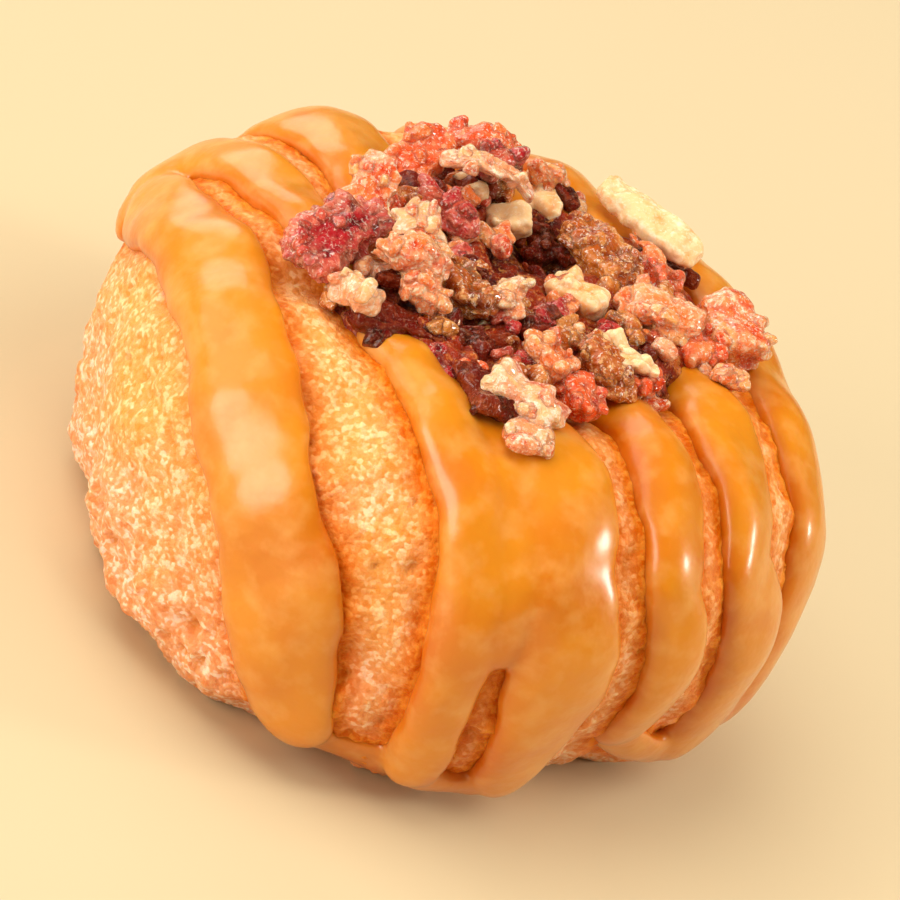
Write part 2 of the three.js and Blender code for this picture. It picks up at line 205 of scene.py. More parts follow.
def add_node(tree, kind, sockets=None, **settings):
    node = tree.nodes.new(kind)
    for name, value in settings.items():
        setattr(node, name, value)
    for name, value in (sockets or {}).items():
        if isinstance(value, bpy.types.NodeSocket):
            tree.links.new(value, node.inputs[name])
        else:
            node.inputs[name].default_value = value
    return node


# A Mix node's colour sockets go by number, as its sockets for numbers and vectors share their names
MIX_FACTOR, MIX_FIRST, MIX_SECOND, MIX_RESULT = 0, 6, 7, 2


def mix_colours(tree, factor, first, second):
    sockets = {MIX_FACTOR: factor, MIX_FIRST: first, MIX_SECOND: second}
    return add_node(tree, "ShaderNodeMix", sockets, data_type="RGBA").outputs[MIX_RESULT]


def added(tree, first, second, clamp=False, operation="ADD"):
    node = add_node(tree, "ShaderNodeMath", {0: first, 1: second}, operation=operation, use_clamp=clamp)
    return node.outputs[0]


def scaled(tree, value, factor, clamp=False):
    return added(tree, value, factor, clamp, "MULTIPLY")


def spread(tree, value, low, high, to_low=0.0, to_high=1.0):
    sockets = {"Value": value, "From Min": low, "From Max": high, "To Min": to_low, "To Max": to_high}
    return add_node(tree, "ShaderNodeMapRange", sockets).outputs[0]


def field_value(tree, name, output="Fac"):
    return add_node(tree, "ShaderNodeAttribute", attribute_name=name).outputs[output]


def noise(tree, place, scale, detail=2.0, roughness=0.5):
    sockets = {"Vector": place, "Scale": scale, "Detail": detail, "Roughness": roughness}
    return add_node(tree, "ShaderNodeTexNoise", sockets).outputs[0]


def grain_cells(tree, place, scale):
    """How far out in its cell each place of a grainy texture is, and a random tone for each cell."""
    sockets = {"Vector": place, "Scale": scale, "Smoothness": 0.6}
    cells = add_node(tree, "ShaderNodeTexVoronoi", sockets, feature="SMOOTH_F1")
    tone = add_node(tree, "ShaderNodeSeparateColor", {"Color": cells.outputs["Color"]})
    return cells.outputs["Distance"], tone.outputs[0]


def millimetre_place(tree):
    """The place on the object in millimetres, for noise whose scale is in grains a millimetre."""
    place = add_node(tree, "ShaderNodeTexCoord").outputs["Object"]
    sockets = {0: place, "Scale": 1 / MILLIMETRE}
    return add_node(tree, "ShaderNodeVectorMath", sockets, operation="SCALE").outputs[0]


def new_material(name, sockets):
    """A material with one Principled BSDF whose even values are set on its own sockets."""
    material = bpy.data.materials.new(name)
    material.use_nodes = True
    tree = material.node_tree
    surface = tree.nodes["Principled BSDF"]
    for socket, value in sockets.items():
        surface.inputs[socket].default_value = value
    return material, tree, surface


def light_inside(weight, depth, reach):
    """Socket values for light that spreads under a surface, a depth in millimetres inside, and how
    far red, green and blue reach as shares of that depth."""
    return {"Subsurface Weight": weight, "Subsurface Scale": depth * MILLIMETRE,
            "Subsurface Radius": reach}


def put_on(tree, surface, socket, value):
    tree.links.new(value, surface.inputs[socket])


def bump(tree, height, depth):
    """Fine relief that stands out by a depth in millimetres."""
    sockets = {"Height": height, "Distance": depth * MILLIMETRE}
    return add_node(tree, "ShaderNodeBump", sockets).outputs[0]


CRUST_ROUND_STEPS = 450
CRUST_SECTION_STEPS = 180
# Heights between which the crust gets toasted, and the size and height of each form of its relief
TOASTED_BELOW = 17.0
FULLY_TOASTED_AT = 3.0
GRAIN_MEAN = 0.55
CRUMBLE_SIZE = 2.6
CRUMBLE_HEIGHT = 0.26
LUMP_SIZE = 1.5
LUMP_HEIGHT = 0.4
PEBBLE_SIZE = 1.05
PEBBLE_HEIGHT = 0.26
SMALL_PEBBLE_SIZE = 0.62
SMALL_PEBBLE_HEIGHT = 0.2
PORE_SIZE = 1.5
PORE_DEPTH = 0.38
SHARE_WITHOUT_PORES = 0.78
CRUST_SINK = 0.06

around, section = np.meshgrid(
    np.linspace(0, 2 * math.pi, CRUST_ROUND_STEPS, endpoint=False),
    np.linspace(-math.pi, math.pi, CRUST_SECTION_STEPS, endpoint=False), indexing="ij")
around, section = around.ravel(), section.ravel()
bare = ring_point(around, section, 0)
toasted = smooth_step(-bare[:, 2], -TOASTED_BELOW, -FULLY_TOASTED_AT)
crag = 0.85 + 0.65 * toasted
pebbles = grains(bare, PEBBLE_SIZE, seed=11) - GRAIN_MEAN
small_pebbles = grains(bare, SMALL_PEBBLE_SIZE, seed=12) - GRAIN_MEAN
crumble = swell(bare, CRUMBLE_SIZE, seed=1)
lumps = np.maximum(swell(bare, LUMP_SIZE, seed=6), 0) * smooth_step(bare[:, 2], 0.5, 3.5)
has_pore = cell_random(np.floor(bare / PORE_SIZE), seed=4) > SHARE_WITHOUT_PORES
pore = has_pore * smooth_step(grains(bare, PORE_SIZE, seed=5), 0.82, 0.99)
crust_lift = CRUMBLE_HEIGHT * crumble + LUMP_HEIGHT * lumps + PEBBLE_HEIGHT * pebbles
crust_lift = (crust_lift + SMALL_PEBBLE_HEIGHT * small_pebbles - CRUST_SINK) * crag
crust_lift -= PORE_DEPTH * pore
relief = pebbles + 0.9 * small_pebbles - 1.2 * pore + 0.4 * crumble
crust_points = as_made(ring_point(around, section, crust_lift))
crust_faces = grid_faces(CRUST_ROUND_STEPS, CRUST_SECTION_STEPS)
crust = make_piece("cake_crust", crust_points, crust_faces, {"relief": relief, "toasted": toasted})

crust_look, tree, surface = new_material("cake_crust", {
    "Specular IOR Level": 0.3, "Specular Tint": colour("ffd49a"),
    **light_inside(0.5, 0.7, (1.0, 0.5, 0.2))})
place = millimetre_place(tree)
patch = noise(tree, place, 0.2, 3.0)
crumb = noise(tree, place, 1.0, 4.0, 0.65)
freckle = noise(tree, place, 1.9, 3.0, 0.6)
fine = noise(tree, place, 4.5, 3.0, 0.65)
speck_edge, speck_tone = grain_cells(tree, place, 3.4)
soak_and_shade = field_value(tree, "soak_and_shade")
toast = added(tree, spread(tree, patch, 0.35, 0.65, -0.3, 0.35), field_value(tree, "toasted"))
toast = added(tree, toast, scaled(tree, soak_and_shade, 0.3), clamp=True)
gold = mix_colours(tree, toast, colour("f2a85e"), colour("f0a672"))
pale = mix_colours(tree, toast, colour("fed49a"), colour("ffe0c6"))
amber = mix_colours(tree, toast, colour("ec9438"), colour("e48448"))
tone = added(tree, scaled(tree, speck_tone, 0.42), scaled(tree, crumb, 0.85))
grained = mix_colours(tree, spread(tree, tone, 0.62, 0.82, 0.0, 0.95), gold, pale)
grained = mix_colours(tree, spread(tree, tone, 0.58, 0.4, 0.0, 0.75), grained, amber)
grained = mix_colours(tree, spread(tree, freckle, 0.6, 0.74, 0.0, 0.7), grained, amber)
# The hollows of the crust's relief are given a deeper orange: painted shade.
painted_hollow_shade = spread(tree, field_value(tree, "relief"), 0.0, -1.0)
deep = mix_colours(tree, scaled(tree, painted_hollow_shade, 0.5, clamp=True), grained, colour("e08426"))
# Syrupy orange near the icing: partly the glaze the crust took up, partly painted shade between the
# strands.
syrup_and_shade_tone = mix_colours(tree, spread(tree, tone, 0.45, 0.8), colour("d86404"), colour("ec8c2c"))
syrup_and_shade_share = scaled(tree, soak_and_shade, 1.1, clamp=True)
put_on(tree, surface, "Base Color", mix_colours(tree, syrup_and_shade_share, deep, syrup_and_shade_tone))
put_on(tree, surface, "Roughness", spread(tree, speck_tone, 0.0, 1.0, 0.3, 0.6))
crust_height = added(tree, fine, scaled(tree, speck_edge, -0.5))
crust_height = added(tree, crust_height, scaled(tree, crumb, 1.2))
put_on(tree, surface, "Normal", bump(tree, crust_height, 0.11))
crust.data.materials.append(crust_look)
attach(crust, "root")
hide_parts("iced_ring")


# Maple icing
# One thick strand of opaque maple icing, laid to and fro across the ring in six passes that run
# down its wall inside and out. Warm icing has rounded lips and runs together where passes touch.

LAYING_TURN = math.radians(42)
SINK = 0.9
WALL_START = 21.9
DOWNHILL_POWER = 1.8
FUNNEL_RADIUS = 7.0
NARROWING_LENGTH = 14.0
STRAND_STEP = 0.35
STRAND_SIDES = 30
LIP_POWER = 2.1
SOFT_LIP = 0.05
CRISP_LIP = 0.4
ICING_VOXEL = 0.275
PASS_REACH = 22
LINE_STEP = 0.5
WALL_STEP = math.radians(4)
TURN_POINTS = 13
SHORTEST_PART = 5
ROUTE_SMOOTHINGS = 3


def section_angle_at(radius, height):
    across = (radius - CREST_RADIUS) / HALF_WIDTH
    up = height / np.where(height > 0, UPPER_HEIGHT, LOWER_HEIGHT)
    power = np.where(up > 0, UPPER_POWER, LOWER_POWER)
    return np.arctan2(signed_power(up, power / 2), signed_power(across, power / 2))


def ring_angles(points):
    radius = np.hypot(points[..., 0], points[..., 1])
    return np.arctan2(points[..., 1], points[..., 0]), section_angle_at(radius, points[..., 2] - MIDDLE)


def laid_line(back_offset, front_offset, bow):
    """The straight part of a pass, seen from above, as angles on the ring."""
    along = np.arange(-PASS_REACH, PASS_REACH + LINE_STEP / 2, LINE_STEP)
    offset = back_offset + (front_offset - back_offset) * (along + PASS_REACH) / (2 * PASS_REACH)
    offset = offset + bow * (1 - (along / PASS_REACH) ** 2)
    x = offset * math.cos(LAYING_TURN) + along * math.sin(LAYING_TURN)
    y = offset * math.sin(LAYING_TURN) - along * math.cos(LAYING_TURN)
    radius = np.hypot(x, y)
    on_top = radius <= WALL_START
    across = np.clip((radius - CREST_RADIUS) / HALF_WIDTH, -0.98, 1)
    section = np.arccos(signed_power(across, UPPER_POWER / 2))
    return np.stack([np.arctan2(y, x), section, radius], axis=1)[on_top]


def run_down_wall(last, foot):
    """From where a pass leaves the top, down the wall and round to its foot."""
    foot_section, foot_round = math.radians(foot[0]), math.radians(foot[1])
    section = np.arange(last[1] - WALL_STEP, foot_section, -WALL_STEP)
    left = (section - foot_section) / (last[1] - foot_section)
    around = foot_round + turned(last[0] - foot_round) * left ** DOWNHILL_POWER
    return np.stack([around, section, np.full(len(section), CAKE_RADIUS)], axis=1)


def pass_route(back, front, bow, back_foot, front_foot):
    """A pass from its foot at the back, over the ring, to its foot at the front."""
    line = laid_line(back, front, bow)
    down_back = run_down_wall(line[0], back_foot)
    down_front = run_down_wall(line[-1], front_foot)
    return np.concatenate([down_back[::-1], line, down_front])


def turn_route(start, end, dip):
    """A turn from the end of one pass to the next, which sags by an angle down the wall."""
    part = np.linspace(0, 1, TURN_POINTS)
    around = start[0] + turned(end[0] - start[0]) * part
    section = start[1] + (end[1] - start[1]) * part - math.radians(dip) * np.sin(math.pi * part)
    return np.stack([around, section, np.full(TURN_POINTS, CAKE_RADIUS)], axis=1)


def split_at_hole(route):
    """A pass that crosses the hole drops into it under the bacon, so it is cut in two there."""
    outside = route[:, 2] >= FUNNEL_RADIUS
    parts = np.split(route, np.flatnonzero(np.diff(outside.astype(int))) + 1)
    return [part for part in parts if part[0, 2] >= FUNNEL_RADIUS and len(part) >= SHORTEST_PART]


# Where a strand's widths are given, in degrees about the ring's middle line: at the foot, at the
# widest level and on top
WIDTH_ANGLES = [-45, 0, 60]


def strand(route, widths, height, narrowing=0.0):
    """A closed tube along a route, its underside in the cake: a soft slope on the side that the
    icing was pushed away from and a high rounded lip on the other. Its widths are those on top of
    the ring, at the ring's widest level and at the foot."""
    spine = ring_point(route[:, 0], route[:, 1], 0)
    travelled = np.concatenate([[0], np.cumsum(np.linalg.norm(np.diff(spine, axis=0), axis=1))])
    length = travelled[-1]
    steps = max(6, int(length / STRAND_STEP))
    at = np.linspace(0, length, steps + 1)
    centre = np.stack([np.interp(at, travelled, spine[:, axis]) for axis in range(3)], axis=1)
    for _ in range(ROUTE_SMOOTHINGS):
        centre[1:-1] = (centre[:-2] + 2 * centre[1:-1] + centre[2:]) / 4
    tangent = np.gradient(centre, axis=0)
    spine_angles = ring_angles(centre)
    side = np.cross(tangent, ring_normal(*spine_angles))
    side /= np.linalg.norm(side, axis=1, keepdims=True)
    width = np.interp(np.degrees(spine_angles[1]), WIDTH_ANGLES, widths[::-1])
    width -= narrowing * np.maximum(0, 1 - at / NARROWING_LENGTH)
    from_end = np.minimum(at, length - at)
    rounding = np.sqrt(1 - (1 - np.minimum(1, 0.04 + from_end / (width / 2))) ** 2)
    uneven = 1 + 0.06 * np.sin(at * 0.55 + widths[0] * 3) + 0.025 * np.sin(at * 1.7 + widths[0])
    turn = np.linspace(0, 2 * math.pi, STRAND_SIDES, endpoint=False)
    out = signed_power(np.cos(turn), 2 / LIP_POWER)
    rise = signed_power(np.sin(turn), 2 / LIP_POWER)
    across = (rounding * uneven * width / 2)[:, None] * out
    top = height * (0.45 + 0.55 * rounding)[:, None]
    lip = np.where(out > 0, SOFT_LIP, CRISP_LIP)
    crown = lip + (1 - lip) * rise
    under = lip * top + (lip * top + SINK) * rise
    lift = np.where(rise > 0, top * crown, under)
    place = centre[:, None, :] + side[:, None, :] * across[..., None]
    points = ring_point(*ring_angles(place), lift).reshape(-1, 3)
    faces = grid_faces(steps + 1, STRAND_SIDES, rows_close=False)[:, [0, 3, 2, 1]].tolist()
    first_end = list(range(STRAND_SIDES))[::-1]
    last_end = list(range(steps * STRAND_SIDES, (steps + 1) * STRAND_SIDES))
    return points, faces + [first_end, last_end]


# Offsets across the passes at the back and the front, bow, widths on top, at the widest level and
# at the foot, height, both feet as the angle down the wall and the direction about the hole, and
# how much narrower the pass is at its back end
PASSES = {
    "first": (-16.2, -21.7, -1.0, (6.4, 7.8, 4.8), 1.5, (16, 178), (-45, -90), 2.2),
    "second": (-13.9, -10.6, 0.5, (4.2, 4.1, 3.3), 1.4, (10, 173), (-47, -70.5), 0.0),
    "third": (-5.3, -5.0, 0.0, (6.6, 6.8, 3.8), 1.5, (-12, 146), (-48, -54), 0.0),
    "fourth": (4.8, 2.4, 0.4, (4.4, 3.9, 3.5), 1.5, (-14, 120), (-24, -35), 0.0),
    "fifth": (11.2, 9.0, 0.0, (4.7, 5.4, 4.2), 1.5, (-20, 99), (-44, -14), 0.0),
    "sixth": (18.6, 15.9, 0.0, (4.8, 5.2, 4.0), 1.4, (-18, 78), (-36, -6), 0.0),
}
# The passes that a turn joins, at which end, its width, height and how far it sags
TURNS = [
    ("first", "second", "back", 4.4, 1.4, 2),
    ("second", "third", "front", 3.2, 1.1, 3),
    ("third", "fourth", "back", 4.2, 1.3, 8),
    ("fourth", "fifth", "front", 3.0, 1.1, 2),
    ("fifth", "sixth", "back", 4.0, 1.3, 8),
    ("first", "second", "front", 3.4, 0.4, 2),
]

strands, ends = [], {}
for name, (back, front, bow, widths, height, back_foot, front_foot, narrowing) in PASSES.items():
    route = pass_route(back, front, bow, back_foot, front_foot)
    ends[name] = {"back": route[1], "front": route[-2]}
    strands += [strand(part, widths, height, narrowing) for part in split_at_hole(route)]
for start, end, where, width, height, dip in TURNS:
    strands.append(strand(turn_route(ends[start][where], ends[end][where], dip), [width] * 3, height))
# Between the second and third pass the icing has run together into one sheet at the front
SHEET = {"back": -9.2, "front": -8.2, "bow": 0, "back_foot": (30, 150), "front_foot": (2, -68.5)}
SHEET_WIDTHS = (4.8, 3.6, 3.6)
SHEET_HEIGHT = 1.05
sheet = pass_route(**SHEET)
strands.append(strand(sheet[math.ceil(len(sheet) / 2):], SHEET_WIDTHS, SHEET_HEIGHT))


def joined(parts):
    """All points and faces of several meshes."""
    points, faces, count = [], [], 0
    for part_points, part_faces in parts:
        points.append(part_points)
        faces += [[corner + count for corner in face] for face in part_faces]
        count += len(part_points)
    return np.concatenate(points), faces


def run_together(piece, voxel_size, softenings):
    """Fuses what touches in a piece into one skin, softens it and gives the new mesh."""
    fuse = piece.modifiers.new("run_together", "REMESH")
    fuse.mode = "VOXEL"
    fuse.voxel_size = voxel_size * MILLIMETRE
    fuse.use_smooth_shade = True
    soften = piece.modifiers.new("soften", "SMOOTH")
    soften.factor = 0.5
    soften.iterations = softenings
    evaluated = piece.evaluated_get(bpy.context.evaluated_depsgraph_get())
    mesh = bpy.data.meshes.new_from_object(evaluated)
    piece.modifiers.clear()
    piece.data = mesh
    return mesh


def mesh_points(mesh):
    """A mesh's points in millimetres about the hole's axis."""
    flat = np.empty(len(mesh.vertices) * 3)
    mesh.vertices.foreach_get("co", flat)
    return flat.reshape(-1, 3) / MILLIMETRE - HOLE_AXIS


def move_points(mesh, points):
    """Moves a mesh's points to places in millimetres about the hole's axis."""
    mesh.vertices.foreach_set("co", ((points + HOLE_AXIS) * MILLIMETRE).ravel())
    mesh.update()


def search_tree(points):
    """A tree that finds the nearest of many points."""
    tree = KDTree(len(points))
    for number, point in enumerate(points):
        tree.insert(point, number)
    tree.balance()
    return tree


icing_points, icing_faces = joined(strands)
icing = make_piece("maple_icing", icing_points, np.array(icing_faces, dtype=object))
icing_mesh = run_together(icing, ICING_VOXEL, softenings=3)
laid = mesh_points(icing_mesh)
laid_angles = ring_angles(laid)
over_crust = np.einsum("ij,ij->i", laid - ring_point(*laid_angles, 0), ring_normal(*laid_angles))
dimples = 0.06 * swell(laid, 3.2, seed=31) + 0.035 * swell(laid, 1.3, seed=32)
laid += ring_normal(*laid_angles) * (dimples * smooth_step(over_crust, 0.2, 1.0))[:, None]
move_points(icing_mesh, as_made(laid))
write_fields(icing, {"thickness": over_crust})

# The crust between the strands of icing has drunk syrupy maple and is painted a deep orange, which is
# also painted shade in the narrow gaps between the strands, less so on the open left side
SOAK_REACH = 1.3
OPEN_SIDE = (-22, -16)
icing_tree = search_tree(laid)
gap = np.array([icing_tree.find(point)[2] for point in bare])
across_passes = bare[:, 0] * math.cos(LAYING_TURN) + bare[:, 1] * math.sin(LAYING_TURN)
between_strands = smooth_step(across_passes, *OPEN_SIDE)
write_fields(crust, {"soak_and_shade": np.exp(-(gap / SOAK_REACH) ** 2) * (0.25 + 0.75 * between_strands)})

icing_look, tree, surface = new_material("maple_icing", {
    "Specular IOR Level": 0.6, "Specular Tint": colour("ffe8cc"),
    "Coat Weight": 0.8, "Coat Roughness": 0.22, **light_inside(0.45, 1.1, (1.0, 0.45, 0.1))})
place = millimetre_place(tree)
cloud = noise(tree, place, 0.16, 2.0)
smear = noise(tree, place, 0.6, 3.0)
# Thinner icing is given a deeper amber, which also paints shade into the strands' low edges and the
# valleys between them.
depth = added(tree, field_value(tree, "thickness"), spread(tree, cloud, 0.35, 0.65, -0.6, 0.5))
body = mix_colours(tree, spread(tree, depth, 0.2, 1.5), colour("cc6800"), colour("dc8812"))
smeared = spread(tree, smear, 0.46, 0.7, 0.0, 0.45)
put_on(tree, surface, "Base Color", mix_colours(tree, smeared, body, colour("e6a454")))
put_on(tree, surface, "Roughness", spread(tree, smear, 0.3, 0.7, 0.4, 0.52))
put_on(tree, surface, "Normal", bump(tree, noise(tree, place, 0.9, 2.0), 0.08))
icing_mesh.materials.append(icing_look)
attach(icing, "root")
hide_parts("iced_ring")


# Packed middle of the bacon heap
# Small dark scraps of fried bacon packed into the hole and over the icing around it, with a pit
# left of the middle. It carries the bits that show. Its dark colour is partly fat and syrupy glaze
# and partly painted shade in the gaps between the bits, darkest in the pit.

PIT = {"x": -1.1, "y": 6.4, "radius": 3.3, "depth": 0.8}
PIT_SLOPE = 0.6
SLOPE_STARTS = 7.5
CORE_OUTLINE = [(0, MIDDLE + 1), (HOLE_RADIUS, MIDDLE + 1), (HOLE_RADIUS + 1.5, MIDDLE + 3),
                (HOLE_RADIUS + 3, CREST - 6), (12.4, CREST - 2.5), (12.3, CREST + 0.1),
                (10.4, CREST + 1.1), (5.5, CREST + 1.1), (0, CREST + 0.8)]
CORE_ROUND_STEPS = 210
CORE_STATIONS = 120
CORE_SWELL_SIZE = 2.2
CORE_LUMP_SIZE = 1.3
CORE_GRAIN_SIZE = 0.7


def rim_share(around):
    """How far out the heap reaches: least at the front right, where the icing shows almost up to
    the hole, more at the front left and most at the back."""
    front = np.exp(-(turned(around - math.radians(-38)) / math.radians(34)) ** 2)
    left = np.exp(-(turned(around - math.radians(-128)) / math.radians(25)) ** 2)
    back = np.exp(-(turned(around - math.radians(70)) / math.radians(45)) ** 2)
    return 1 - 0.3 * front + 0.15 * left + 0.22 * back


outline = np.array(CORE_OUTLINE)
run = np.concatenate([[0], np.cumsum(np.hypot(*np.diff(outline, axis=0).T))])
stations = np.linspace(0, run[-1], CORE_STATIONS)
core_radius = np.interp(stations, run, outline[:, 0])
core_height = np.interp(stations, run, outline[:, 1])
turn = np.linspace(0, 2 * math.pi, CORE_ROUND_STEPS, endpoint=False)
core_points = np.stack([np.outer(np.cos(turn), core_radius), np.outer(np.sin(turn), core_radius),
                        np.outer(np.ones(CORE_ROUND_STEPS), core_height)], axis=-1).reshape(-1, 3)
core_reach = np.hypot(core_points[:, 0], core_points[:, 1])
core_around = np.arctan2(core_points[:, 1], core_points[:, 0])
core_points[:, :2] *= np.where(core_reach > HOLE_RADIUS + 0.1, rim_share(core_around), 1.0)[:, None]
from_pit = np.hypot(core_points[:, 0] - PIT["x"], core_points[:, 1] - PIT["y"])
on_top = core_points[:, 2] > CREST - 2
dug = (1 - smooth_step(from_pit, PIT["radius"] * 0.5, PIT["radius"] * 1.2)) * on_top
pit_floor = CREST - PIT["depth"] + PIT_SLOPE * np.maximum(core_reach - SLOPE_STARTS, 0)
core_points[:, 2] += (pit_floor - core_points[:, 2]) * dug
wobble = 0.5 * swell(core_points, CORE_SWELL_SIZE, seed=21)
wobble += 0.55 * (grains(core_points, CORE_LUMP_SIZE, seed=22) - 0.5)
wobble += 0.5 * (grains(core_points, CORE_GRAIN_SIZE, seed=23) - 0.5)
outside = np.clip(core_reach / 3, 0, 1)
core_points[:, 2] += wobble * (core_points[:, 2] > MIDDLE + 3)
core_points[:, :2] *= 1 + 0.03 * (wobble * outside)[:, None]
core_faces = grid_faces(CORE_ROUND_STEPS, CORE_STATIONS, columns_close=False)
# The pit's tone is darkened as painted shade; elsewhere each bit's tone differs at random.
core = make_piece("packed_bacon", as_made(core_points), core_faces,
                  {"relief": wobble, "bit_place": core_points, "edge": 0 * wobble, "tint": -2.4 * dug})


def bacon_tones():
    """Node group for fried bacon: deep and body colours along the fibres, pale on crisp edges, and
    the deep colour also in the hollows of each bit's relief as painted shade. Whitish frost specks
    are partly sugar and partly painted glints. It reads each bit's own fibre direction, so that
    streaks follow the cut of the meat."""
    group = bpy.data.node_groups.new("bacon_tones", "ShaderNodeTree")
    for name in ("Deep", "Body", "Second", "Pale"):
        group.interface.new_socket(name, in_out="INPUT", socket_type="NodeSocketColor")
    for name in ("Second share", "Pale edge", "Pale flecks", "Streaks", "Frost_and_glints"):
        group.interface.new_socket(name, in_out="INPUT", socket_type="NodeSocketFloat")
    for name, kind in (
            ("Color", "NodeSocketColor"), ("Height", "NodeSocketFloat"), ("Dryness", "NodeSocketFloat")):
        group.interface.new_socket(name, in_out="OUTPUT", socket_type=kind)
    given = group.nodes.new("NodeGroupInput").outputs
    place = field_value(group, "bit_place", "Vector")
    along = add_node(group, "ShaderNodeMapping", {"Vector": place, "Scale": (0.22, 1.0, 1.0)}).outputs[0]
    fibre = noise(group, along, 2.2, 3.0, 0.6)
    blotch = noise(group, place, 0.5, 2.0)
    fleck = noise(group, place, 2.6, 3.0, 0.6)
    frost = noise(group, place, 5.5, 2.0, 0.6)
    tint = scaled(group, field_value(group, "tint"), 0.5)
    streak = scaled(group, spread(group, fibre, 0.35, 0.65, -0.5, 0.5), given["Streaks"])
    # The hollows of each bit's relief take the deep colour: painted shade.
    relief = scaled(group, field_value(group, "relief"), 1.1)
    body = added(group, spread(group, blotch, 0.35, 0.65), tint)
    body = added(group, added(group, body, streak), relief, clamp=True)
    rim = scaled(group, field_value(group, "edge"), given["Pale edge"])
    rim = scaled(group, rim, spread(group, fleck, 0.35, 0.6, 0.2, 1.0))
    spots = scaled(group, spread(group, fleck, 0.54, 0.64), given["Pale flecks"])
    # Whitish specks: partly sugar frost, partly painted glints.
    frost_and_glints = scaled(group, spread(group, frost, 0.58, 0.66), given["Frost_and_glints"])
    paleness = added(group, rim, spots, clamp=True)
    meat = mix_colours(group, body, given["Deep"], given["Body"])
    vein = noise(group, along, 0.42, 2.0)
    second = scaled(group, spread(group, vein, 0.5, 0.6), given["Second share"])
    meat = mix_colours(group, second, meat, given["Second"])
    final = mix_colours(group, paleness, meat, given["Pale"])
    final = mix_colours(group, frost_and_glints, final, colour("fff0da"))
    height = added(group, scaled(group, fibre, 0.7), scaled(group, fleck, 0.6))
    height = added(group, height, scaled(group, frost, 0.5))
    add_node(group, "NodeGroupOutput", {"Color": final, "Height": height, "Dryness": paleness})
    return group


BACON_TONES = bacon_tones()
COMMON_FROST_AND_GLINTS = 0.7


def bacon_look(name, sockets, tones, roughness=(0.18, 0.4), grain_depth=0.36):
    """A bacon material: its shader's own values, its tones, and its roughness where moist and dry."""
    material, tree, surface = new_material(name, sockets)
    group = add_node(tree, "ShaderNodeGroup", node_tree=BACON_TONES)
    for socket, value in {"Frost_and_glints": COMMON_FROST_AND_GLINTS, **tones}.items():
        group.inputs[socket].default_value = colour(value) if isinstance(value, str) else value
    put_on(tree, surface, "Base Color", group.outputs["Color"])
    put_on(tree, surface, "Roughness", spread(tree, group.outputs["Dryness"], 0, 1, *roughness))
    put_on(tree, surface, "Normal", bump(tree, group.outputs["Height"], grain_depth))
    return material


# The packed middle's dark colours are partly the meat's own and partly painted shade for the gaps
# between the bits.
core.data.materials.append(bacon_look(
    "packed_bacon", light_inside(0.3, 0.3, (1.0, 0.3, 0.15)),
    {"Deep": "440803", "Body": "9a2c0c", "Second": "c4641a", "Pale": "ee9e50",
     "Second share": 0.8, "Pale edge": 0.0, "Pale flecks": 0.5, "Streaks": 0.4, "Frost_and_glints": 0.15},
    roughness=(0.3, 0.5)))
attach(core, "root")
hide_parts("bacon_heap")


# Bacon bits
# Broken crisp bacon, pressed on while the icing was wet: crimson lean with pale frayed rims, dark
# lean, glassy orange-red and salmon pieces, pale streaky pieces, cream fat and sugared lumps.

BIT_SPACING = 0.125
SCRAP_SPACING = 0.14
BIT_VOXEL = 0.12
# How a bit is cut and broken: shares of its half size, the size and depth of its bites, the size
# from which its relief is full, and how far apart the fields of two bits can lie
CUTS_AT = (0.5, 0.85)
SIDES_AT = (0.88, 1.02)
BITE_SIZES = (0.35, 0.8)
BITE_DEPTH = 0.65
FULL_RELIEF_SIZE = 2.2
FIELD_REACH = 90


def box_grid(counts):
    """Points and quads of a box from -1 to 1 whose faces are divided evenly."""
    points, faces, number = [], [], {}

    def corner(i, j, k):
        key = (i, j, k)
        if key not in number:
            number[key] = len(points)
            points.append([2 * i / counts[0] - 1, 2 * j / counts[1] - 1, 2 * k / counts[2] - 1])
        return number[key]

    for axis in range(3):
        u, v = (axis + 1) % 3, (axis + 2) % 3
        for end in (0, counts[axis]):
            for a in range(counts[u]):
                for b in range(counts[v]):
                    quad = []
                    for da, db in ((0, 0), (1, 0), (1, 1), (0, 1)):
                        key = [0, 0, 0]
                        key[axis], key[u], key[v] = end, a + da, b + db
                        quad.append(corner(*key))
                    faces.append(quad if end else quad[::-1])
    return np.array(points), np.array(faces)


def turned_bit(points, lie, at):
    """Rolls a bit about its length, pitches its end up, turns it in plan and puts it in place."""
    turn, pitch, roll = (math.radians(angle) for angle in lie)
    lying = Matrix.Rotation(turn, 3, "Z") @ Matrix.Rotation(-pitch, 3, "Y")
    lying = lying @ Matrix.Rotation(roll, 3, "X")
    return points @ np.array(lying).T + np.array(at)


